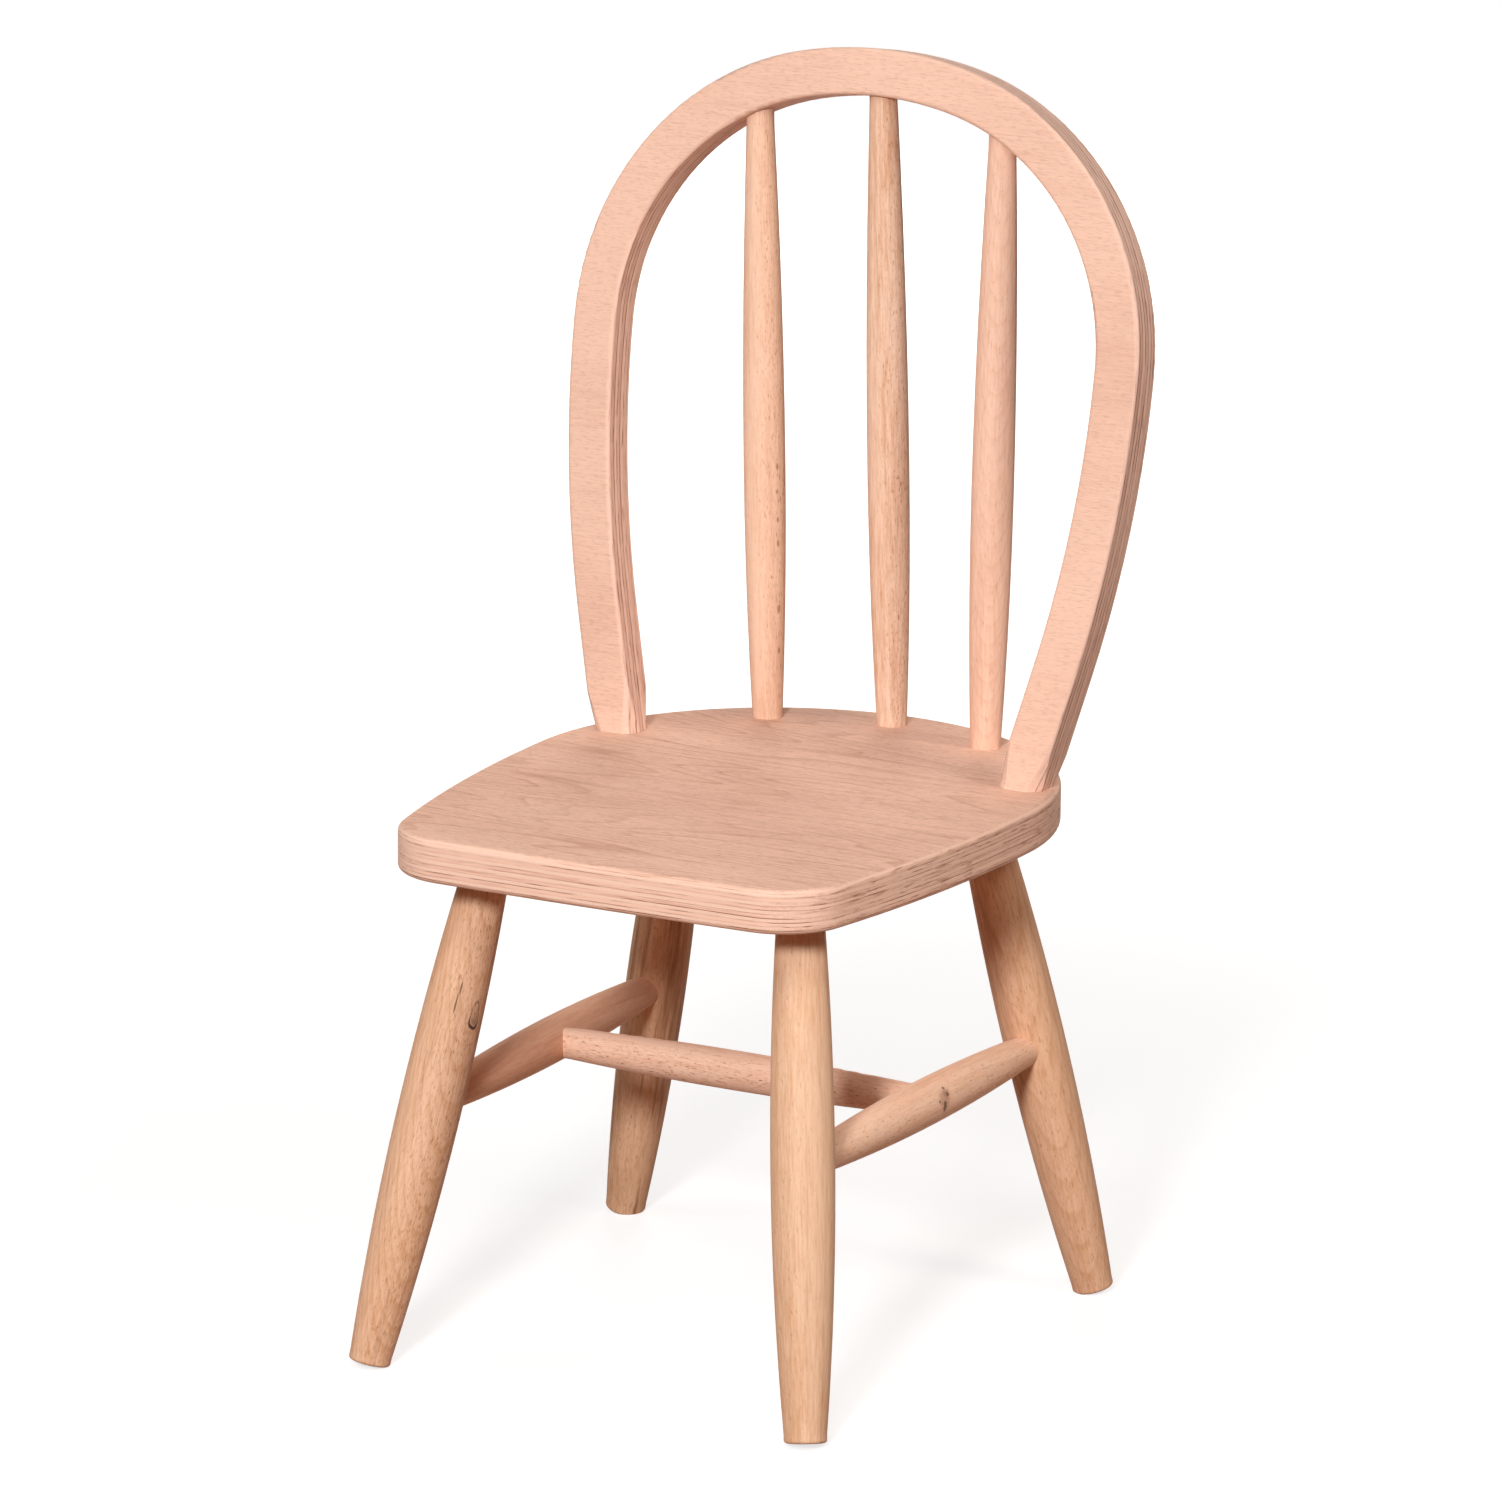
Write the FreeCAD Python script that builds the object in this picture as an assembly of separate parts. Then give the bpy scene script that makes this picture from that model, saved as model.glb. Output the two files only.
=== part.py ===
import FreeCAD, Part
import math
import os
from FreeCAD import Placement, Rotation, Vector

# Child's hoop-back chair. Millimetres and degrees, +Z up, the chair faces -Y.
# It is laid out from the centre of the seat's round back, then moved so that
# the origin lies on the floor under the middle of the whole chair.

# Boards, fits and cuts
board_thickness = 22.0
glue_gap = 0.1
socket_room = 1.0
reveal_margin = 1.0
tenon_round = 1.0
cut_overrun = 5.0

# Seat panel
seat_height = 270.0
seat_depth = 332.0
seat_back_radius = 137.8
seat_side_radius = 800.0
seat_front_bow = 2.0
seat_corner_radius = 36.0
seat_edge_round = 3.0

# Back hoop, drawn in its own leaning plane, upwards from the seat's top
hoop_lean_angle = 10.2
hoop_foot_setback = 40.6
hoop_height = 353.2
hoop_face_width = 23.5
hoop_overhang = 7.5
hoop_crown_ease = 55.1
hoop_crown_angle = 12.6
hoop_side_radius = 645.0
hoop_limb_height = 58.0
hoop_edge_round = 2.0
hoop_foot_radius = 12.4
hoop_whittle_length = 28.0
hoop_tenon_radius = 10.0
hoop_tenon_depth = 14.0

# Spindles, fanned along an arc at the seat and let into the hoop's inner edge
spindle_edge_inset = 20.3
spindle_fan_angle = 31.8
spindle_top_offset = 67.6
spindle_foot_radius = 7.7
spindle_belly_radius = 10.6
spindle_tip_radius = 6.95
spindle_belly_share = 0.42
spindle_foot_depth = 14.0
spindle_tip_depth = 10.0

# Legs, placed from the seat's edges where their axes cross its underside
front_leg_side_inset = 52.3
front_leg_front_inset = 52.4
front_leg_splay_angle = 8.15
front_leg_rake_angle = 12.7
back_leg_side_inset = 54.2
back_leg_setback = 52.6
back_leg_splay_angle = 11.75
back_leg_rake_angle = 7.65
leg_tenon_radius = 11.5
leg_tenon_depth = 14.0
leg_belly_radius = 15.5
leg_belly_share = 0.52
leg_foot_radius = 10.4
leg_foot_plain = 4.0
leg_foot_round = 1.5
leg_level_cut = 0.8

# Stretchers
stretcher_height = 129.0
side_stretcher_end_radius = 8.2
side_stretcher_belly_radius = 11.4
cross_stretcher_end_radius = 7.8
cross_stretcher_belly_radius = 9.9
cross_stretcher_share = 0.52
stretcher_belly_share = 0.5

# Constants of the geometry
full_turn = 360.0
quarter_turn = 90.0
half_share = 0.5
floor_block_share = 4.0
shallow_arc_fall_share = 0.25
corner_mid_share = 1.0 - math.sqrt(half_share)

up = Vector(0, 0, 1)
seat_underside = seat_height - board_thickness
hoop_shoulder_radius = seat_back_radius + hoop_overhang
hoop_crown_radius = hoop_shoulder_radius + hoop_crown_ease


def unit(vector):
    return vector * (1.0 / vector.Length)


def line(start, end):
    return Part.LineSegment(start, end).toShape()


def arc(start, middle, end):
    return Part.Arc(start, middle, end).toShape()


def on_profile(radius, station):
    return Vector(radius, 0, station)


def rod(radius, start, end):
    return Part.makeCylinder(radius, (end - start).Length, start, end - start)


def slant_reveal(radius, axis, normal):
    # How far a tenon's plain end must stand out of a surface that it meets at a slant.
    lean = math.acos(min(abs(axis.dot(normal)), 1.0))
    return radius * math.tan(lean) + reveal_margin


def swell(end_radius, end_station, belly_radius, belly_station, outwards):
    # A shallow arc that starts level at the belly and falls away to one end.
    middle_radius = belly_radius - (belly_radius - end_radius) * shallow_arc_fall_share
    middle = on_profile(middle_radius, (end_station + belly_station) * half_share)
    end = on_profile(end_radius, end_station)
    belly = on_profile(belly_radius, belly_station)
    if outwards:
        return arc(end, middle, belly)
    return arc(belly, middle, end)


def turned_piece(length, foot, tip, belly, base, direction):
    # Foot and tip are (radius, plain length, end rounding); belly is (radius, station).
    foot_radius, foot_plain, foot_round = foot
    tip_radius, tip_plain, tip_round = tip
    belly_radius, belly_station = belly
    foot_mid = foot_round * corner_mid_share
    tip_mid = tip_round * corner_mid_share
    profile = Part.Wire([
        line(on_profile(0, 0), on_profile(foot_radius - foot_round, 0)),
        arc(on_profile(foot_radius - foot_round, 0),
            on_profile(foot_radius - foot_mid, foot_mid),
            on_profile(foot_radius, foot_round)),
        line(on_profile(foot_radius, foot_round), on_profile(foot_radius, foot_plain)),
        swell(foot_radius, foot_plain, belly_radius, belly_station, True),
        swell(tip_radius, length - tip_plain, belly_radius, belly_station, False),
        line(on_profile(tip_radius, length - tip_plain), on_profile(tip_radius, length - tip_round)),
        arc(on_profile(tip_radius, length - tip_round),
            on_profile(tip_radius - tip_mid, length - tip_mid),
            on_profile(tip_radius - tip_round, length)),
        line(on_profile(tip_radius - tip_round, length), on_profile(0, length)),
        line(on_profile(0, length), on_profile(0, 0)),
    ])
    solid = Part.Face(profile).revolve(Vector(0, 0, 0), up, full_turn)
    solid.Placement = Placement(base, Rotation(up, direction))
    return solid


# Hoop geometry: centres of its arcs, its straight limbs and its feet

def hoop_arc_centres():
    crown = Vector(0, 0, hoop_height - hoop_crown_radius)
    turn = math.radians(hoop_crown_angle)
    radial = Vector(math.sin(turn), 0, math.cos(turn))
    shoulder = crown + radial * (hoop_crown_radius - hoop_shoulder_radius)
    side = shoulder + Vector(hoop_shoulder_radius - hoop_side_radius, 0, 0)
    return crown, shoulder, side


def limb_turn():
    # How far the straight limbs slant in towards the seat.
    drop = hoop_arc_centres()[1].z - hoop_limb_height
    return math.asin(drop / (hoop_side_radius - hoop_face_width * half_share))


def limb_directions():
    # Outward normal of a right-hand limb and its direction towards the seat.
    turn = limb_turn()
    normal = Vector(math.cos(turn), 0, -math.sin(turn))
    down = Vector(-math.sin(turn), 0, -math.cos(turn))
    return normal, down


def hoop_foot():
    # Where the right-hand limb's centre line crosses the seat's top.
    normal, down = limb_directions()
    start = hoop_arc_centres()[2] + normal * (hoop_side_radius - hoop_face_width * half_share)
    return start - down * (start.z / down.z)


def mirrored(point):
    return Vector(-point.x, point.y, point.z)


def hoop_edge_points(inset, limb_end):
    # Right-hand half of one edge of the hoop, from the crown down to the limb's end.
    crown, shoulder, side = hoop_arc_centres()
    turn = math.radians(hoop_crown_angle)
    mid_turn = (turn + math.radians(quarter_turn)) * half_share
    half_limb = limb_turn() * half_share
    normal, down = limb_directions()
    top = crown + Vector(0, 0, hoop_crown_radius - inset)
    crown_end = crown + Vector(math.sin(turn), 0, math.cos(turn)) * (hoop_crown_radius - inset)
    shoulder_radial = Vector(math.sin(mid_turn), 0, math.cos(mid_turn))
    shoulder_mid = shoulder + shoulder_radial * (hoop_shoulder_radius - inset)
    shoulder_end = shoulder + Vector(hoop_shoulder_radius - inset, 0, 0)
    side_mid = side + Vector(math.cos(half_limb), 0, -math.sin(half_limb)) * (hoop_side_radius - inset)
    side_end = side + normal * (hoop_side_radius - inset)
    limb = side_end + down * (limb_end - side_end).dot(down)
    return top, crown_end, shoulder_mid, shoulder_end, side_mid, side_end, limb


def hoop_edge_curves(points):
    top, crown_end, shoulder_mid, shoulder_end, side_mid, side_end, limb = points
    left = [mirrored(point) for point in points]
    return [
        line(left[6], left[5]),
        arc(left[5], left[4], left[3]),
        arc(left[3], left[2], left[1]),
        arc(left[1], top, crown_end),
        arc(crown_end, shoulder_mid, shoulder_end),
        arc(shoulder_end, side_mid, side_end),
        line(side_end, limb),
    ]


def hoop_placement():
    # Leans the hoop's plane back about the line through its feet.
    feet = Vector(0, hoop_foot_setback, seat_height)
    return Placement(feet, Rotation(Vector(1, 0, 0), -hoop_lean_angle))


def hoop_tenon_axes():
    # Foot point and upward direction of both tenons, in the hoop's own plane.
    foot = hoop_foot()
    rise = limb_directions()[1] * -1
    return [(foot, rise), (mirrored(foot), mirrored(rise))]


def hoop_foot_slant(radius):
    # How far a foot of that radius reaches past its middle where the seat's top cuts it.
    rise = hoop_placement().Rotation.multVec(hoop_tenon_axes()[0][1])
    return slant_reveal(radius, rise, up)


# Places that several pieces share

def spindle_axes():
    # Foot on the seat, tip on the hoop's inner edge and that edge's normal, for each spindle.
    crown, shoulder, side = hoop_arc_centres()
    place = hoop_placement()
    reach = hoop_shoulder_radius - hoop_face_width
    reach_back = seat_back_radius - spindle_edge_inset
    axes = {}
    for name, hand in (("left", -1), ("middle", 0), ("right", 1)):
        fan = math.radians(spindle_fan_angle) * hand
        foot = Vector(math.sin(fan), math.cos(fan), 0) * reach_back + up * seat_height
        if hand:
            run = spindle_top_offset - shoulder.x
            tip = Vector(spindle_top_offset * hand, 0, shoulder.z + math.sqrt(reach ** 2 - run ** 2))
            normal = unit(tip - Vector(shoulder.x * hand, 0, shoulder.z))
        else:
            tip = Vector(0, 0, hoop_height - hoop_face_width)
            normal = up
        axes[name] = (foot, place.multVec(tip), place.Rotation.multVec(normal))
    return axes


def leg_axes():
    # Point on the seat's underside and upward direction of each leg's axis.
    rows = {
        "front": (front_leg_side_inset, seat_back_radius + front_leg_front_inset - seat_depth,
                  front_leg_splay_angle, front_leg_rake_angle),
        "back": (back_leg_side_inset, back_leg_setback, back_leg_splay_angle, -back_leg_rake_angle),
    }
    axes = {}
    for row, (inset, place, splay, rake) in rows.items():
        for side, hand in (("left", -1), ("right", 1)):
            root = Vector((seat_back_radius - inset) * hand, place, seat_underside)
            rise = Vector(-math.tan(math.radians(splay)) * hand, math.tan(math.radians(rake)), 1)
            axes[row, side] = (root, unit(rise))
    return axes


def side_stretcher_ends(side):
    ends = []
    for row in ("front", "back"):
        root, rise = leg_axes()[row, side]
        ends.append(root - rise * ((seat_underside - stretcher_height) / rise.z))
    return ends


def cross_stretcher_ends():
    ends = []
    for side in ("left", "right"):
        front, back = side_stretcher_ends(side)
        ends.append(front + (back - front) * cross_stretcher_share)
    return ends


# Pieces

def make_seat():
    front = seat_back_radius - seat_depth
    side_centre = seat_back_radius - seat_side_radius

    def side_point(place, hand):
        return Vector((side_centre + math.sqrt(seat_side_radius ** 2 - place ** 2)) * hand, place, 0)

    right = Vector(seat_back_radius, 0, 0)
    corner = side_point(front, 1)
    outline = Part.Wire([
        arc(right, Vector(0, seat_back_radius, 0), mirrored(right)),
        arc(mirrored(right), side_point(front * half_share, -1), mirrored(corner)),
        arc(mirrored(corner), Vector(0, front - seat_front_bow, 0), corner),
        arc(corner, side_point(front * half_share, 1), right),
    ])
    panel = Part.Face(outline).extrude(up * board_thickness)
    corners = [edge for edge in panel.Edges
               if edge.BoundBox.ZLength > board_thickness * half_share
               and edge.CenterOfMass.y < front * half_share]
    panel = panel.makeFillet(seat_corner_radius, corners)
    rims = [edge for edge in panel.Edges if edge.BoundBox.ZLength < board_thickness * half_share]
    panel = panel.makeFillet(seat_edge_round, rims)
    panel.translate(up * seat_underside)
    for root, rise in leg_axes().values():
        radius = leg_tenon_radius + glue_gap
        mouth = root - rise * (slant_reveal(radius, rise, up) + cut_overrun)
        panel = panel.cut(rod(radius, mouth, root + rise * (leg_tenon_depth + socket_room)))
    for foot, tip, normal in spindle_axes().values():
        rise = unit(tip - foot)
        radius = spindle_foot_radius + glue_gap
        floor = foot - rise * (spindle_foot_depth + socket_room)
        panel = panel.cut(rod(radius, floor, foot + rise * cut_overrun))
    place = hoop_placement()
    radius = hoop_tenon_radius + glue_gap
    for foot, rise in hoop_tenon_axes():
        floor = place.multVec(foot - rise * (hoop_tenon_depth + socket_room))
        mouth = place.multVec(foot + rise * (hoop_foot_slant(radius) + cut_overrun))
        panel = panel.cut(rod(radius, floor, mouth))
    return panel


def make_hoop():
    # A sawn bar whose feet are whittled, cut flush with the seat and let in by round tenons.
    half_depth = board_thickness * half_share
    half_diagonal = math.hypot(hoop_face_width, board_thickness) * half_share
    drop = hoop_foot_slant(half_diagonal)
    foot, rise = hoop_tenon_axes()[0]
    limb_end = foot - rise * drop
    outer = hoop_edge_points(0, limb_end)
    inner = hoop_edge_points(hoop_face_width, limb_end)
    ends = [line(outer[6], inner[6]), line(mirrored(inner[6]), mirrored(outer[6]))]
    edges = hoop_edge_curves(outer) + hoop_edge_curves(inner) + ends
    outline = Part.Wire(Part.__sortEdges__(edges))
    outline.translate(Vector(0, -half_depth, 0))
    bar = Part.Face(outline).extrude(Vector(0, board_thickness, 0))
    end_height = limb_end.z + hoop_face_width * half_share
    arrises = [edge for edge in bar.Edges
               if edge.BoundBox.YLength < half_depth and edge.BoundBox.ZMax > end_height]
    hoop = bar.makeFillet(hoop_edge_round, arrises)
    for foot, rise in hoop_tenon_axes():
        start = foot - rise * drop
        sleeve = Part.makeCylinder(half_diagonal + cut_overrun, drop + hoop_whittle_length, start, rise)
        taper = Part.makeCone(hoop_foot_radius, half_diagonal, hoop_whittle_length, foot, rise)
        hoop = hoop.cut(sleeve.cut(taper).cut(rod(hoop_foot_radius, start, foot)))
    place = hoop_placement()
    hoop.Placement = place
    shoulder_height = seat_height + glue_gap
    waste_corner = Vector(-hoop_height, hoop_foot_setback - hoop_height, shoulder_height - hoop_height)
    waste = Part.makeBox(hoop_height * 2, hoop_height * 2, hoop_height, waste_corner)
    hoop = hoop.cut(waste)
    for foot, rise in hoop_tenon_axes():
        tenon_end = place.multVec(foot - rise * hoop_tenon_depth)
        tenon_root = place.multVec(foot + rise * hoop_whittle_length)
        hoop = hoop.fuse(rod(hoop_tenon_radius, tenon_end, tenon_root))
    hoop = hoop.removeSplitter()
    for foot, tip, normal in spindle_axes().values():
        rise = unit(tip - foot)
        radius = spindle_tip_radius + glue_gap
        mouth = tip - rise * (slant_reveal(radius, rise, normal) + cut_overrun)
        hoop = hoop.cut(rod(radius, mouth, tip + rise * (spindle_tip_depth + socket_room)))
    return hoop


def make_spindle(foot, tip, normal):
    rise = unit(tip - foot)
    base = foot - rise * spindle_foot_depth
    shown = (tip - foot).Length
    foot_plain = spindle_foot_depth + slant_reveal(spindle_foot_radius, rise, up)
    tip_plain = spindle_tip_depth + slant_reveal(spindle_tip_radius, rise, normal)
    return turned_piece(
        shown + spindle_foot_depth + spindle_tip_depth,
        (spindle_foot_radius, foot_plain, tenon_round),
        (spindle_tip_radius, tip_plain, tenon_round),
        (spindle_belly_radius, spindle_foot_depth + shown * spindle_belly_share),
        base, rise)


def make_leg(root, rise, stretcher):
    # The foot is cut square to the leg and levelled where it meets the floor.
    lean = math.acos(rise.z)
    foot_height = ((leg_foot_radius - leg_foot_round) * math.sin(lean)
                   + leg_foot_round * (1.0 - math.cos(lean)) - leg_level_cut)
    shown = (seat_underside - foot_height) / rise.z
    base = root - rise * shown
    leg = turned_piece(
        shown + leg_tenon_depth,
        (leg_foot_radius, leg_foot_plain, leg_foot_round),
        (leg_tenon_radius, leg_tenon_depth + slant_reveal(leg_tenon_radius, rise, up), tenon_round),
        (leg_belly_radius, shown * leg_belly_share),
        base, rise)
    floor_side = leg_foot_radius * floor_block_share
    floor_corner = Vector(base.x - floor_side * half_share, base.y - floor_side * half_share, -floor_side)
    leg = leg.cut(Part.makeBox(floor_side, floor_side, floor_side, floor_corner))
    near, far = stretcher
    along = unit(far - near)
    mouth = near + along * (leg_belly_radius + cut_overrun)
    return leg.cut(rod(side_stretcher_end_radius + glue_gap, near - along * socket_room, mouth))


def make_stretcher(near, far, end_radius, belly_radius, plains):
    length = (far - near).Length
    return turned_piece(
        length,
        (end_radius, plains[0], tenon_round),
        (end_radius, plains[1], tenon_round),
        (belly_radius, length * stretcher_belly_share),
        near, unit(far - near))


def make_side_stretcher(side):
    front, back = side_stretcher_ends(side)
    along = unit(back - front)
    plains = []
    for row in ("front", "back"):
        rise = leg_axes()[row, side][1]
        slant = abs(rise.dot(along))
        skin = (leg_belly_radius + side_stretcher_end_radius * slant) / math.sqrt(1.0 - slant ** 2)
        plains.append(skin + reveal_margin)
    piece = make_stretcher(front, back, side_stretcher_end_radius, side_stretcher_belly_radius, plains)
    left, right = cross_stretcher_ends()
    near, far = (left, right) if side == "left" else (right, left)
    inwards = unit(far - near)
    mouth = near + inwards * (side_stretcher_belly_radius + cut_overrun)
    return piece.cut(rod(cross_stretcher_end_radius + glue_gap, near - inwards * socket_room, mouth))


def make_cross_stretcher():
    left, right = cross_stretcher_ends()
    plain = side_stretcher_belly_radius + reveal_margin
    plains = (plain, plain)
    return make_stretcher(left, right, cross_stretcher_end_radius, cross_stretcher_belly_radius, plains)


def make_chair():
    nodes = {"seat_panel": make_seat(), "back_hoop": make_hoop()}
    for name, (foot, tip, normal) in spindle_axes().items():
        nodes["spindle_" + name] = make_spindle(foot, tip, normal)
    for (row, side), (root, rise) in leg_axes().items():
        ends = side_stretcher_ends(side)
        stretcher = ends if row == "front" else ends[::-1]
        nodes["leg_" + row + "_" + side] = make_leg(root, rise, stretcher)
    for side in ("left", "right"):
        nodes["side_stretcher_" + side] = make_side_stretcher(side)
    nodes["cross_stretcher"] = make_cross_stretcher()
    return nodes


chair = make_chair()
box = Part.makeCompound(list(chair.values())).optimalBoundingBox(False, False)
to_origin = Vector(0, -(box.YMin + box.YMax) * half_share, 0)
os.makedirs("parts", exist_ok=True)
for node, shape in chair.items():
    shape.translate(to_origin)
    shape.exportStep("parts/" + node + ".step")
    print(node, shape.ShapeType, len(shape.Solids), shape.isValid(), round(shape.Volume))
print("overall", round(box.XLength, 1), round(box.YLength, 1), round(box.ZLength, 1))
print("moved by", round(to_origin.y, 3), "lowest", round(box.ZMin, 4))
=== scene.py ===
import math

import bpy
import numpy as np
from mathutils import Matrix, Quaternion, Vector


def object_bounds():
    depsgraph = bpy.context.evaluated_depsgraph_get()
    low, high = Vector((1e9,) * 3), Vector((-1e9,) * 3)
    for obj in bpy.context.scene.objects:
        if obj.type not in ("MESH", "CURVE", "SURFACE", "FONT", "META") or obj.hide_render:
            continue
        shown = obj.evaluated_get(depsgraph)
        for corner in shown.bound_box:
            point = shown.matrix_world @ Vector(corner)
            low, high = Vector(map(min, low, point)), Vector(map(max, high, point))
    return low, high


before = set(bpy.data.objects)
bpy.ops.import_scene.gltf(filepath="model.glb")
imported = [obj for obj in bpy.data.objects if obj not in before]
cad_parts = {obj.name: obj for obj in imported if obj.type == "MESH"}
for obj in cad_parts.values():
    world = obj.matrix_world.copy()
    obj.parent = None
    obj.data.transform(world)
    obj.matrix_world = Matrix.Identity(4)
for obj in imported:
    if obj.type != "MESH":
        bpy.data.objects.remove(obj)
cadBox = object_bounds()
print("frame loaded:", len(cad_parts), "pieces")


# Shader helpers

def linear(red, green, blue):  # a colour as seen on screen, 0 to 255, into scene values
    def one(value):
        share = value / 255
        return share / 12.92 if share <= 0.04045 else ((share + 0.055) / 1.055) ** 2.4
    return (one(red), one(green), one(blue), 1.0)


class Wire:  # one socket, so that sums on it read as sums
    def __init__(self, graph, socket):
        self.graph = graph
        self.socket = socket

    def sum(self, operation, *values):
        return self.graph.add("ShaderNodeMath", {"operation": operation}, dict(enumerate(values)))

    def __add__(self, other):
        return self.sum("ADD", self, other)

    def __radd__(self, other):
        return self.sum("ADD", other, self)

    def __sub__(self, other):
        return self.sum("SUBTRACT", self, other)

    def __rsub__(self, other):
        return self.sum("SUBTRACT", other, self)

    def __mul__(self, other):
        return self.sum("MULTIPLY", self, other)

    def __rmul__(self, other):
        return self.sum("MULTIPLY", other, self)

    def __truediv__(self, other):
        return self.sum("DIVIDE", self, other)

    def __pow__(self, other):
        return self.sum("POWER", self, other)

    def __abs__(self):
        return self.sum("ABSOLUTE", self)

    def floor(self):
        return self.sum("FLOOR", self)

    def fraction(self):
        return self.sum("FRACT", self)

    def above(self, low, high):  # soft step from 0 at low to 1 at high
        sockets = {"Value": self, "From Min": low, "From Max": high}
        return self.graph.add("ShaderNodeMapRange", {"interpolation_type": "SMOOTHSTEP"}, sockets)


class Graph:  # one material's nodes
    def __init__(self, tree):
        self.tree = tree
        tree.nodes.clear()

    def find(self, sockets, key):
        if isinstance(key, int):
            return sockets[key]
        return next(s for s in sockets if s.identifier == key or s.name == key)

    def add(self, kind, settings=None, sockets=None, out=0):
        node = self.tree.nodes.new(kind)
        for name, value in (settings or {}).items():
            if name == "stops":
                self.setStops(node.color_ramp, value)
            else:
                setattr(node, name, value)
        for key, value in (sockets or {}).items():
            socket = self.find(node.inputs, key)
            if isinstance(value, Wire):
                self.tree.links.new(value.socket, socket)
            else:
                socket.default_value = value
        return Wire(self, self.find(node.outputs, out)) if len(node.outputs) else node

    def setStops(self, ramp, stops):
        while len(ramp.elements) < len(stops):
            ramp.elements.new(1.0)
        for element, (place, value) in zip(ramp.elements, stops):
            element.position = place
            element.color = (value, value, value, 1.0)

    def split(self, vector):
        node = self.tree.nodes.new("ShaderNodeSeparateXYZ")
        self.tree.links.new(vector.socket, node.inputs[0])
        return [Wire(self, s) for s in node.outputs]

    def noise(self, vector, detail=2.0, roughness=0.5):  # its mean is a half
        sockets = {"Vector": vector, "Scale": 1.0, "Detail": detail, "Roughness": roughness}
        return self.add("ShaderNodeTexNoise", None, sockets)

    def stretch(self, vector, scales, shift=0.0):
        sockets = {"Vector": vector, "Scale": scales, "Location": (shift,) * 3}
        return self.add("ShaderNodeMapping", {"vector_type": "POINT"}, sockets)

    def away(self, vector, point):
        sockets = {0: vector, 1: point}
        return self.split(self.add("ShaderNodeVectorMath", {"operation": "SUBTRACT"}, sockets))

    def distance(self, vector, point, lengthwise):  # lengths along the grain count by this share
        x, y, z = self.away(vector, point)
        return (x ** 2 + y ** 2 + (z * lengthwise) ** 2) ** 0.5

    def blend(self, factor, first, second):
        sockets = {"Factor_Float": factor, "A_Color": first, "B_Color": second}
        return self.add("ShaderNodeMix", {"data_type": "RGBA"}, sockets, "Result_Color")

    def ramp(self, value, stops):
        return self.add("ShaderNodeValToRGB", {"stops": stops}, {"Fac": value})


def newMaterial(name):
    material = bpy.data.materials.new(name)
    material.use_nodes = True
    return material, Graph(material.node_tree)


sandedLook = {"specular": 0.3, "bumpStrength": 0.6}


def finishWood(graph, colour, roughness, height, bumpDepth):
    bump = graph.add("ShaderNodeBump", None, {
        "Height": height, "Distance": bumpDepth, "Strength": sandedLook["bumpStrength"],
    })
    wood = graph.add("ShaderNodeBsdfPrincipled", None, {
        "Base Color": colour, "Roughness": roughness, "Normal": bump,
        "Specular IOR Level": sandedLook["specular"],
    })
    graph.add("ShaderNodeOutputMaterial", None, {"Surface": wood})


def dress(node, material):
    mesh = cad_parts[node].data
    mesh.materials.clear()
    mesh.materials.append(material)


# Where each piece's grain runs

def meshPoints(node):
    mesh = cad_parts[node].data
    points = np.zeros(len(mesh.vertices) * 3)
    mesh.vertices.foreach_get("co", points)
    return points.reshape(-1, 3)


def turnedGrain(node, spin):  # a turned piece's own axis becomes Z, and spin turns the figure round it
    points = meshPoints(node)
    middle = (points.min(0) + points.max(0)) / 2
    axis = np.linalg.svd(points - points.mean(0), full_matrices=False)[2][0]
    lead = int(np.abs(axis).argmax())
    axis = Vector(axis * np.sign(axis[lead]))
    up = Vector((0, 0, 1))
    rotation = Quaternion(up, math.radians(spin)) @ axis.rotation_difference(up)
    return rotation.to_matrix(), Vector(middle)


def boardGrain(node):  # a board's thickness becomes Z, up from its back face, and its face grain X
    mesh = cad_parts[node].data
    widest = max(mesh.polygons, key=lambda polygon: polygon.area)
    through = Vector(widest.normal)
    if through.z - through.y < 0:
        through = -through
    along = Vector((1, 0, 0))
    across = through.cross(along)
    rotation = Matrix((along, across, through))
    depths = meshPoints(node) @ np.array(through)
    return rotation, through * float(depths.min()), float(depths.max() - depths.min())


def grainPlace(graph, rotation, origin):
    objectPlace = graph.add("ShaderNodeTexCoord", None, None, "Object")
    sockets = {"Vector": objectPlace, "Rotation": rotation.to_euler(), "Location": -(rotation @ origin)}
    return graph.add("ShaderNodeMapping", {"vector_type": "POINT"}, sockets)


# Turned beech: legs, stretchers and spindles

turnedLook = {
    "rings": {"ringGap": 0.0042, "tilt": 0.0, "warpDepth": 0.009, "share": 0.16},  # gap and warp in metres
    "ringStops": [(0.0, 0.0), (0.6, 0.3), (0.88, 1.0), (1.0, 0.0)],
    "warp": (30, 30, 9),  # this and the next ones in waves per metre
    "fibre": (900, 900, 75), "streak": (260, 260, 9), "tone": (45, 45, 6),
    "shares": {"fibre": 1.1, "streak": 0.6, "tone": 0.8}, "bias": -0.92,
    "vein": (210, 210, 5), "veinRange": (0.5, 0.72), "veinFloor": 0.5, "veinColour": (164, 112, 78),
    "dash": (1300, 1300, 300), "dashRange": (0.48, 0.66), "dashShare": 0.7,
    "pit": (1150, 1150, 330), "pitRange": (0.58, 0.72),
    "fleckDepth": 0.8, "fleckFloor": 0.4, "fleckColour": (180, 122, 84),
    "markCore": 0.4,  # full depth within this share of a mark's radius
    "roughness": 0.6, "fibreRoughness": 0.12, "fibreHeight": 0.4, "bumpDepth": 0.0002,
}

knotBrown = (74, 40, 24)

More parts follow.
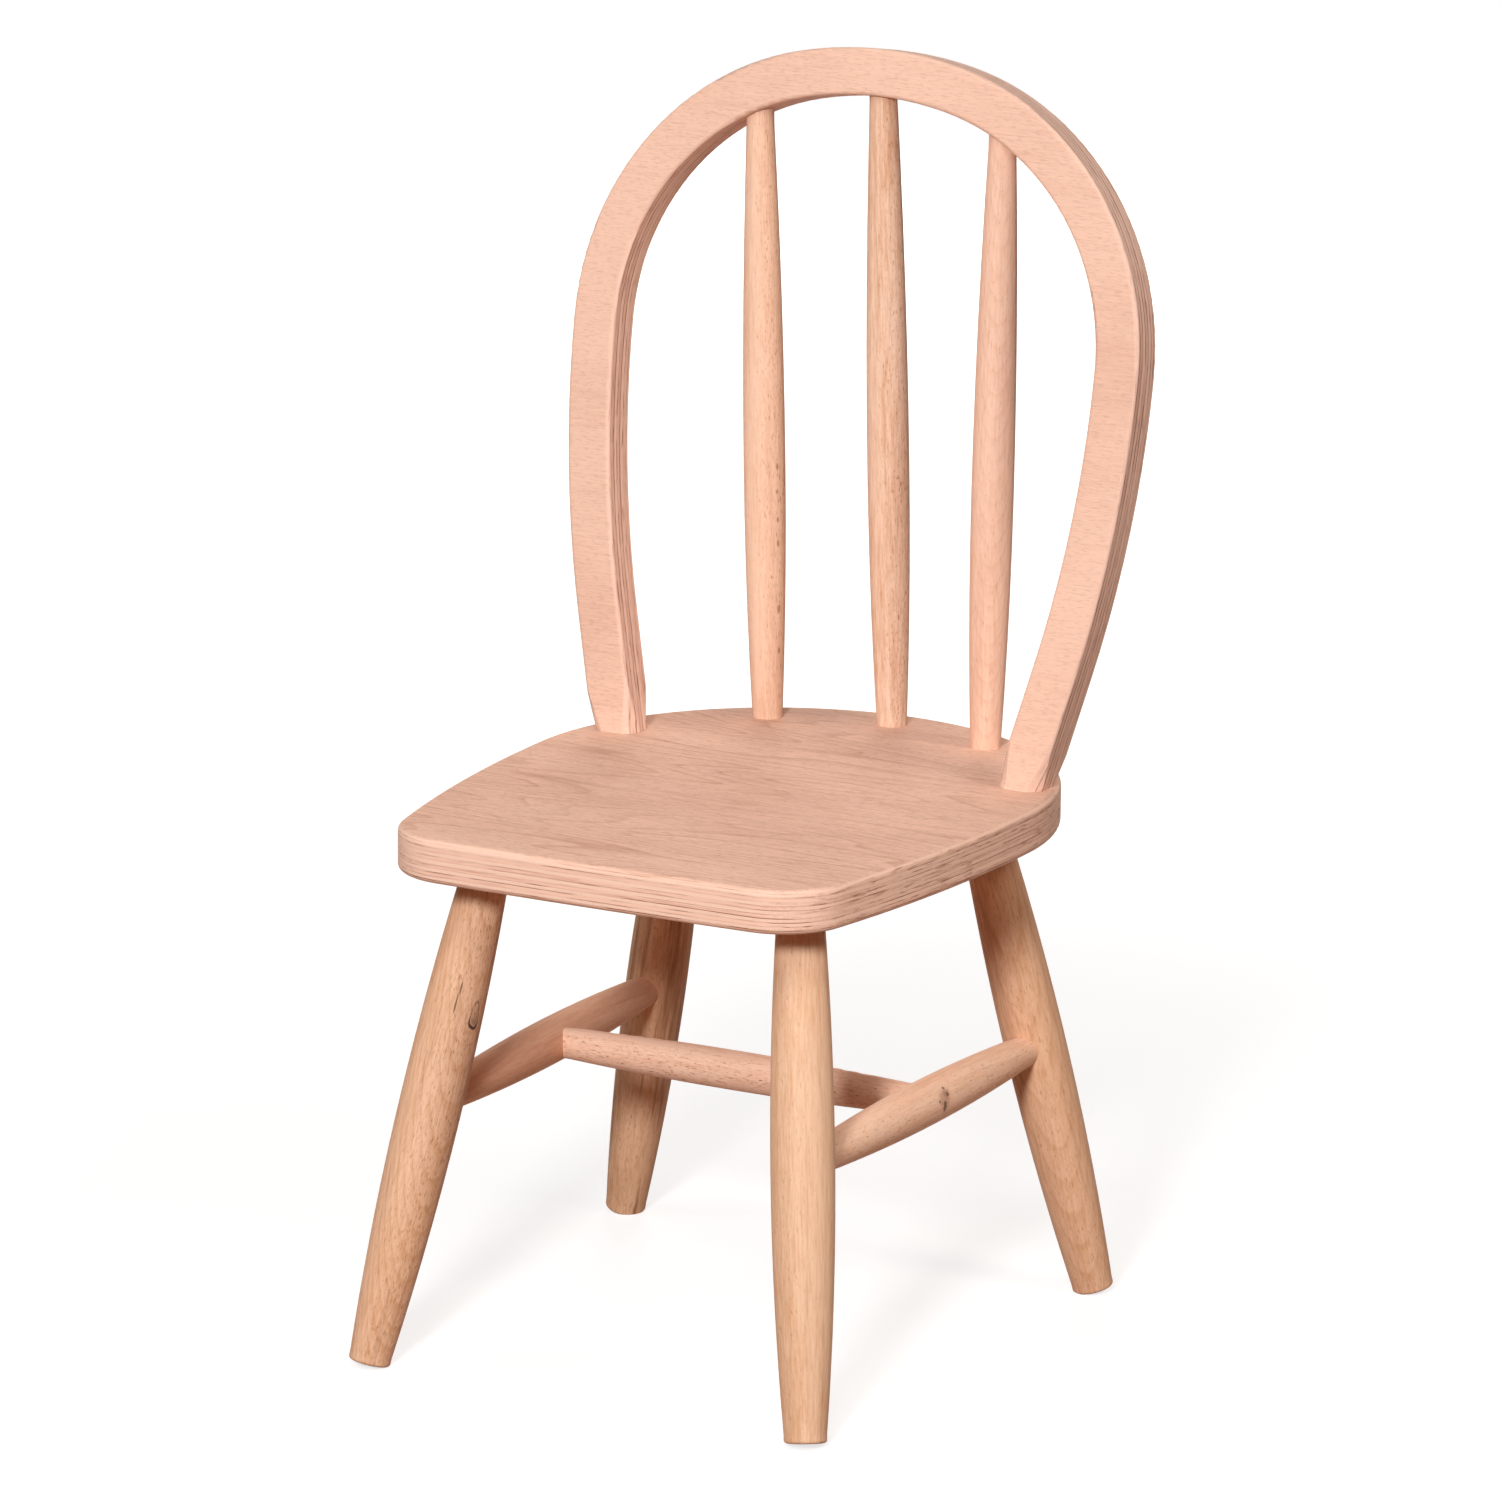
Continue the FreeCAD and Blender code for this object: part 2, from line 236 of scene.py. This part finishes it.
turnedPieces = {
    "spindle_left": {
        "spin": 43, "pith": (0.055, 0.03), "pale": (245, 207, 182), "deep": (226, 177, 147),
        "seed": 1.3, "veins": 0.1, "flecks": 0.5,
        "marks": [{
            "spots": [(-0.0539, 0.1306, 0.3277, 0.0014), (-0.054, 0.1313, 0.3059, 0.0013),
                      (-0.0547, 0.1287, 0.4016, 0.0011), (-0.0546, 0.1287, 0.3887, 0.0009),
                      (-0.0543, 0.1291, 0.3741, 0.0009), (-0.0541, 0.1295, 0.3619, 0.0012)],
            "lengthwise": 0.48, "depth": 0.6, "colour": (142, 84, 54),
        }],
    },
    "spindle_middle": {
        "spin": 80, "pith": (0.03, 0.05), "pale": (247, 213, 190), "deep": (214, 163, 128),
        "seed": 4.1, "veins": 0.25, "flecks": 0.55,
    },
    "spindle_right": {
        "spin": 62, "pith": (0.07, 0.0), "pale": (245, 206, 184), "deep": (226, 176, 149),
        "seed": 7.7, "veins": 0.05, "flecks": 0.3,
        "rings": {"ringGap": 0.0022, "tilt": 0.2, "warpDepth": 0.002, "share": 0.2},
    },
    "leg_front_left": {
        "spin": 22, "pith": (0.05, 0.0), "pale": (238, 196, 165), "deep": (212, 159, 120),
        "seed": 11.9, "veins": 0.35, "flecks": 0.7,
        "rings": {"ringGap": 0.0026, "tilt": 0.15, "warpDepth": 0.005, "share": 0.34},
        "knot": {"place": (-0.0816, -0.1275, 0.1752), "radius": 0.0027},
        "marks": [{  # a fine crack
            "spots": [(-0.0863, -0.1327, 0.1894, 0.0006), (-0.0876, -0.1343, 0.1846, 0.0004),
                      (-0.0882, -0.1355, 0.1802, 0.0006)],
            "lengthwise": 0.13, "depth": 0.75, "colour": knotBrown,
        }],
    },
    "leg_front_right": {
        "spin": 300, "pith": (0.06, 0.02), "pale": (236, 197, 166), "deep": (210, 160, 121),
        "seed": 15.2, "veins": 0.3, "flecks": 0.38,
    },
    "leg_back_left": {
        "spin": 120, "pith": (0.05, 0.04), "pale": (246, 202, 166), "deep": (212, 159, 120),
        "seed": 19.6, "veins": 0.75, "flecks": 0.5,
    },
    "leg_back_right": {
        "spin": 62, "pith": (0.05, 0.0), "pale": (233, 189, 156), "deep": (205, 150, 111),
        "seed": 23.4, "veins": 0.3, "flecks": 0.48,
        "rings": {"ringGap": 0.003, "tilt": 0.12, "warpDepth": 0.004, "share": 0.26},
    },
    "side_stretcher_left": {
        "spin": 10, "pith": (0.06, 0.03), "pale": (252, 204, 172), "deep": (234, 176, 142),
        "seed": 27.8, "veins": 0.2, "flecks": 0.3,
    },
    "side_stretcher_right": {
        "spin": 230, "pith": (0.05, 0.05), "pale": (253, 213, 186), "deep": (238, 186, 154),
        "seed": 31.5, "veins": 0.2, "flecks": 0.45,
        "marks": [{  # a brown patch and the dark spots in it
            "spots": [(0.1163, -0.0122, 0.1322, 0.0058), (0.1157, -0.009, 0.1345, 0.0036)],
            "lengthwise": 0.9, "depth": 0.4, "colour": (128, 74, 48),
        }, {
            "spots": [(0.1169, -0.0126, 0.1301, 0.0021), (0.1168, -0.0128, 0.1276, 0.0024),
                      (0.1159, -0.0085, 0.1339, 0.0015), (0.1163, -0.0172, 0.1322, 0.0011),
                      (0.1138, -0.0093, 0.1369, 0.0011)],
            "lengthwise": 1.0, "depth": 0.75, "colour": knotBrown,
        }],
    },
    "cross_stretcher": {
        "spin": 95, "pith": (0.08, 0.02), "pale": (252, 214, 190), "deep": (236, 184, 156),
        "seed": 36.1, "veins": 0.1, "flecks": 0.6,
    },
}

knotLook = {
    "lengthwise": 0.4, "taper": 60.0, "flow": 0.003, "flowReach": 3.0,
    "wobble": (380, 380, 220), "wobbleDepth": 0.0008, "low": (-0.001, 0.005),
    "rimWidth": 0.0006, "rimDepth": 0.2, "rimLow": 0.45, "rimFibre": 0.8,
    "coreRange": (0.5, 1.1), "coreDepth": 0.28, "coreLow": 0.3,
}


def addKnot(graph, place, spot, radius, fibre):  # a tear-shaped knot: its distance field, rim and core
    look = knotLook
    x, y, z = graph.away(place, spot)
    narrow = (1 + z * look["taper"]) ** 2
    wobble = graph.noise(graph.stretch(place, look["wobble"])) * look["wobbleDepth"]
    knot = ((x ** 2 + y ** 2) * narrow + (z * look["lengthwise"]) ** 2) ** 0.5
    knot = knot + wobble - look["wobbleDepth"] / 2
    low = (0 - z).above(*look["low"])
    rim = 1 - abs(knot - radius).above(0.0, look["rimWidth"])
    rim = rim * (look["rimDepth"] + low * look["rimLow"] + fibre * look["rimFibre"])
    start, end = look["coreRange"]
    core = 1 - knot.above(radius * start, radius * end)
    core = core * (look["coreDepth"] + low * look["coreLow"])
    return knot, rim, core


def turnedBeech(node, piece):
    look = turnedLook
    material, graph = newMaterial(node + "Beech")
    rotation, origin = turnedGrain(node, piece["spin"])
    place = grainPlace(graph, rotation, origin)
    x, y, z = graph.split(place)
    pithX, pithY = piece["pith"]

    def grain(name, shift, detail=2.0):
        return graph.noise(graph.stretch(place, look[name], piece["seed"] + shift), detail)

    fibre = grain("fibre", shift=0, detail=3.0)
    streak = grain("streak", shift=6)
    tone = grain("tone", shift=9)
    warp = grain("warp", shift=0)
    rings = {**look["rings"], **piece.get("rings", {})}
    lean = x + pithX + z * rings["tilt"]
    fromPith = (lean ** 2 + (y + pithY) ** 2) ** 0.5 + warp * rings["warpDepth"]
    if "knot" in piece:
        radius = piece["knot"]["radius"]
        spot = rotation @ (Vector(piece["knot"]["place"]) - origin)
        knot, rim, core = addKnot(graph, place, spot, radius, fibre)
        fromPith = fromPith + (1 - knot.above(radius, radius * knotLook["flowReach"])) * knotLook["flow"]
    ring = graph.ramp((fromPith / rings["ringGap"]).fraction(), look["ringStops"])
    shares = look["shares"]
    deepShare = ring * rings["share"] + fibre * shares["fibre"]
    deepShare = deepShare + streak * shares["streak"] + tone * shares["tone"]
    deepShare = (deepShare + look["bias"]).above(0.0, 1.0)
    slabCut = abs((x * pithX + y * pithY) / ((x ** 2 + y ** 2) ** 0.5 * math.hypot(pithX, pithY)))
    dash = grain("dash", shift=3, detail=1.0).above(*look["dashRange"])
    pit = grain("pit", shift=4, detail=1.0).above(*look["pitRange"])
    fleck = (dash * look["dashShare"] + pit) * piece["flecks"]
    fleck = fleck * (look["fleckFloor"] + slabCut * (1 - look["fleckFloor"]))
    vein = grain("vein", shift=12).above(*look["veinRange"])
    vein = vein * piece["veins"] * (look["veinFloor"] + fibre)
    colour = graph.blend(deepShare, linear(*piece["pale"]), linear(*piece["deep"]))
    colour = graph.blend(vein.above(0.0, 1.0), colour, linear(*look["veinColour"]))
    colour = graph.blend((fleck * look["fleckDepth"]).above(0.0, 1.0), colour, linear(*look["fleckColour"]))
    height = fibre * look["fibreHeight"] - fleck
    if "knot" in piece:
        colour = graph.blend((rim + core).above(0.0, 1.0), colour, linear(*knotBrown))
        height = height - rim
    for marks in piece.get("marks", []):
        for *spot, radius in marks["spots"]:
            away = graph.distance(place, rotation @ (Vector(spot) - origin), marks["lengthwise"])
            ragged = away + (fibre - 0.5) * radius
            mark = 1 - ragged.above(radius * look["markCore"], radius)
            colour = graph.blend(mark * marks["depth"], colour, linear(*marks["colour"]))
            height = height - mark * marks["depth"]
    finishWood(graph, colour, look["roughness"] + fibre * look["fibreRoughness"], height, look["bumpDepth"])
    dress(node, material)


# Beech plywood: seat and hoop

plyLook = {
    "skin": 0.00002, "edgeRange": (0.1, 0.6),  # skin in metres
    "lineStops": [(0.0, 0.0), (0.7, 0.2), (0.93, 1.0), (1.0, 0.0)], "figureRoughness": 0.45,
    "cloud": (6, 14, 14),  # this and the next ones in waves per metre
    "patch": (5, 9, 0), "patchRange": (0.35, 0.65), "patchFloor": 0.3,
    "longways": (55, 1000, 1000), "crossways": (1000, 55, 1000), "grainRoughness": 0.6,
    "dash": (230, 1150, 1150), "dashRange": (0.48, 0.66),
    "edgeLine": (9, 9, 620), "edgeShares": {"ply": 0.4, "fibre": 0.8, "line": 2.2}, "plyMiddle": 0.6,
    "glueWidth": 0.3, "glueRange": (0.3, 1.0), "glueFloor": 0.4,  # width as a share of a ply
    "broken": (30, 30, 420), "brokenRange": (0.46, 0.6),
    "stroke": (75, 75, 800), "strokeRange": (0.52, 0.68), "strokeDepth": 0.46, "strokeFront": 0.3,
    "roughness": 0.62, "fibreRoughness": 0.1, "fibreHeight": 0.5, "bumpDepth": 0.0003,
}

boards = {
    "seat_panel": {
        "pale": (240, 198, 176), "deep": (204, 154, 131), "end": (246, 209, 189),
        "glue": (158, 103, 78), "plies": 11,
        "figure": (2.2, 14.0, 0.0), "figureLines": 27.0, "seed": 3.3,
        "shares": {"figure": 0.42, "fibre": 0.9, "cloud": 0.9}, "bias": -0.64,
        "dashDepth": 0.34, "glueDepth": (0.24, 0.42), "endDepth": 0.75,
    },
    "back_hoop": {
        "pale": (236, 196, 175), "deep": (208, 161, 139), "end": (248, 210, 194),
        "glue": (160, 109, 89), "plies": 7,
        "figure": (2.5, 16.0, 0.0), "figureLines": 20.0, "seed": 8.6,
        "shares": {"figure": 0.1, "fibre": 0.8, "cloud": 0.9}, "bias": -0.62,
        "dashDepth": 0.27, "glueDepth": (0.4, 0.55), "endDepth": 0.85,
    },
}


def beechPly(node, board):
    look = plyLook
    material, graph = newMaterial(node + "Plywood")
    rotation, origin, thickness = boardGrain(node)
    place = grainPlace(graph, rotation, origin)
    z = graph.split(place)[2]
    normal = graph.add("ShaderNodeNewGeometry", None, None, "Normal")
    turned = {"Vector": normal, "Rotation": rotation.to_euler()}
    facing = graph.add("ShaderNodeMapping", {"vector_type": "VECTOR"}, turned)
    faceX, faceY = graph.split(facing)[:2]

    def grain(name, shift, detail=2.0):
        stretched = graph.stretch(place, look[name], board["seed"] + shift)
        return graph.noise(stretched, detail, look["grainRoughness"])

    layer = (z + look["skin"]) * (board["plies"] / (thickness + look["skin"] * 2))
    ply = layer.floor()
    inPly = layer - ply
    crossPly = (ply * 0.5).fraction() * 2.0  # 1 on every second ply
    plySeed = {"W": ply + board["seed"]}
    plyTone = graph.add("ShaderNodeTexWhiteNoise", {"noise_dimensions": "1D"}, plySeed, "Value")
    edge = (faceX ** 2 + faceY ** 2).above(*look["edgeRange"])
    endGrain = (abs(faceX) * (1 - crossPly) + abs(faceY) * crossPly) * edge
    swirl = graph.stretch(place, board["figure"], board["seed"])
    swirl = graph.noise(swirl, roughness=look["figureRoughness"])
    lines = graph.ramp((swirl * board["figureLines"]).fraction(), look["lineStops"])
    patch = grain("patch", shift=4).above(*look["patchRange"])
    figure = lines * (look["patchFloor"] + (1 - look["patchFloor"]) * patch) * (1 - edge)
    longways = grain("longways", shift=0, detail=3.0)
    crossways = grain("crossways", shift=5, detail=3.0)
    fibre = longways * (1 - crossPly) + crossways * crossPly
    cloud = grain("cloud", shift=2)
    dash = grain("dash", shift=7, detail=1.0).above(*look["dashRange"]) * (1 - edge)
    shares = board["shares"]
    deepShare = figure * shares["figure"] + fibre * shares["fibre"] + cloud * shares["cloud"]
    shares = look["edgeShares"]
    onEdge = (plyTone - look["plyMiddle"]) * shares["ply"] + (fibre - 0.5) * shares["fibre"]
    edgeLine = grain("edgeLine", shift=11, detail=3.0)
    onEdge = edge * (onEdge + (edgeLine - 0.5) * shares["line"])
    deepShare = (deepShare + board["bias"] + onEdge).above(0.0, 1.0)
    colour = graph.blend(deepShare, linear(*board["pale"]), linear(*board["deep"]))
    colour = graph.blend(endGrain * board["endDepth"], colour, linear(*board["end"]))
    sideShare = look["strokeFront"] + abs(faceX) * (1 - look["strokeFront"])
    stroke = grain("stroke", shift=13).above(*look["strokeRange"]) * sideShare * edge
    whole, gapped = board["glueDepth"]
    glueLine = 1 - (inPly / look["glueWidth"]).above(*look["glueRange"])
    broken = grain("broken", shift=1).above(*look["brokenRange"])
    glue = glueLine * edge * (whole + gapped * broken) * (look["glueFloor"] + plyTone)
    dark = (glue + stroke * look["strokeDepth"] + dash * board["dashDepth"]).above(0.0, 1.0)
    colour = graph.blend(dark, colour, linear(*board["glue"]))
    roughness = look["roughness"] + fibre * look["fibreRoughness"]
    finishWood(graph, colour, roughness, fibre * look["fibreHeight"] - dark, look["bumpDepth"])
    dress(node, material)


for node, piece in turnedPieces.items():
    turnedBeech(node, piece)
print("turned beech on", len(turnedPieces), "pieces")
for node, board in boards.items():
    beechPly(node, board)
print("plywood on", len(boards), "boards")


# Floor, light and camera

floorLook = {
    "sides": 64, "radius": 9.0, "farRange": (0.35, 1.4),  # metres from under the chair
    "nearPaper": (0.38, 0.38, 0.38, 1.0), "farPaper": (0.3, 0.3, 0.3, 1.0),
    "nearGlow": (0.74, 0.74, 0.74, 1.0), "farGlow": (0.97, 0.97, 0.97, 1.0),
    "bounce": (0.25, 0.11, 0.055, 1.0),
}


def seenRays(graph):  # 1 on rays that show the floor or the sky itself
    rays = [graph.add("ShaderNodeLightPath", None, None, out)
            for out in ("Is Camera Ray", "Is Glossy Ray", "Is Transmission Ray")]
    return (rays[0] + rays[1] + rays[2]).above(0.0, 1.0)


def addFloor():
    look = floorLook
    bpy.ops.mesh.primitive_circle_add(vertices=look["sides"], radius=look["radius"], fill_type="NGON")
    floor = bpy.context.object
    floor.name = "studioFloor"
    material, graph = newMaterial("paleFloor")
    place = graph.add("ShaderNodeTexCoord", None, None, "Object")
    away = graph.distance(place, (0, 0, 0), 1.0).above(*look["farRange"])
    paper = graph.blend(away, look["nearPaper"], look["farPaper"])
    glow = graph.blend(away, look["nearGlow"], look["farGlow"])
    shown = graph.add("ShaderNodeBsdfPrincipled", None, {
        "Base Color": paper, "Roughness": 1.0, "Specular IOR Level": 0.0,
        "Emission Color": glow, "Emission Strength": 1.0,
    })
    bounce = graph.add("ShaderNodeBsdfDiffuse", None, {"Color": look["bounce"]})
    both = graph.add("ShaderNodeMixShader", None, {0: seenRays(graph), 1: bounce, 2: shown})
    graph.add("ShaderNodeOutputMaterial", None, {"Surface": both})
    floor.data.materials.append(material)


skyLook = {
    "light": {"Color": (1.0, 0.75, 0.55, 1.0), "Strength": 0.045},
    "white": {"Color": (1.0, 1.0, 1.0, 1.0), "Strength": 1.0},
}


def addSky():
    world = bpy.data.worlds.new("studioSky")
    bpy.context.scene.world = world
    world.use_nodes = True
    graph = Graph(world.node_tree)
    seen = seenRays(graph)
    light = graph.add("ShaderNodeBackground", None, skyLook["light"])
    white = graph.add("ShaderNodeBackground", None, skyLook["white"])
    both = graph.add("ShaderNodeMixShader", None, {0: seen, 1: light, 2: white})
    graph.add("ShaderNodeOutputWorld", None, {"Surface": both})


lampDistance = 3.2

lamps = {  # a share of 1, straight on, shows a colour as written
    "keyLamp": {"azimuth": 13, "elevation": 24, "size": 0.5, "share": 0.74, "colour": (1.0, 1.0, 0.99)},
    "highLamp": {"azimuth": 24, "elevation": 48, "size": 0.8, "share": 0.2, "colour": (1.0, 1.0, 0.99)},
    "rightLamp": {"azimuth": 85, "elevation": 38, "size": 1.0, "share": 0.29, "colour": (1.0, 0.9, 0.8)},
    "leftLamp": {"azimuth": -55, "elevation": 38, "size": 1.2, "share": 0.16, "colour": (1.0, 0.97, 0.93)},
    "backLamp": {"azimuth": 205, "elevation": 12, "size": 1.4, "share": 0.48, "colour": (1.0, 0.96, 0.92),
                 "sheen": False},  # low, so it would gleam on the seat
}


def addLamps():
    aim = (cadBox[0] + cadBox[1]) / 2
    for name, lamp in lamps.items():
        light = bpy.data.lights.new(name, "AREA")
        light.shape = "DISK"
        light.size = lamp["size"]
        light.energy = lamp["share"] * (math.pi * lampDistance) ** 2
        light.color = lamp["colour"]
        holder = bpy.data.objects.new(name, light)
        holder.visible_glossy = lamp.get("sheen", True)
        bpy.context.scene.collection.objects.link(holder)
        azimuth = math.radians(lamp["azimuth"])
        elevation = math.radians(lamp["elevation"])
        level = math.cos(elevation)
        towards = Vector((math.sin(azimuth) * level, -math.cos(azimuth) * level, math.sin(elevation)))
        holder.location = aim + towards * lampDistance
        holder.rotation_euler = (-towards).to_track_quat("-Z", "Y").to_euler()


cameraLook = {
    "azimuth": 28.15, "elevation": 14.5, "roll": 0.56, "distance": 4.1474,
    "target": (0.01005, -0.01846, 0.2957), "lens": 204.0, "sensor": 36.0, "reach": 100.0,
}


def addCamera():
    look = cameraLook
    camera = bpy.data.cameras.new("photoCamera")
    camera.lens = look["lens"]
    camera.sensor_width = look["sensor"]
    camera.clip_end = look["reach"]
    holder = bpy.data.objects.new("photoCamera", camera)
    bpy.context.scene.collection.objects.link(holder)
    turn = Matrix.Rotation(math.radians(look["azimuth"]), 4, "Z")
    tip = Matrix.Rotation(math.radians(90 - look["elevation"]), 4, "X")
    roll = Matrix.Rotation(math.radians(look["roll"]), 4, "Z")
    rotation = turn @ tip @ roll
    back = rotation @ Vector((0, 0, look["distance"]))
    holder.matrix_world = Matrix.Translation(Vector(look["target"]) + back) @ rotation
    bpy.context.scene.camera = holder


addFloor()
addSky()
addLamps()
addCamera()
bpy.context.scene.view_settings.view_transform = "Standard"
print("floor, light and camera set")
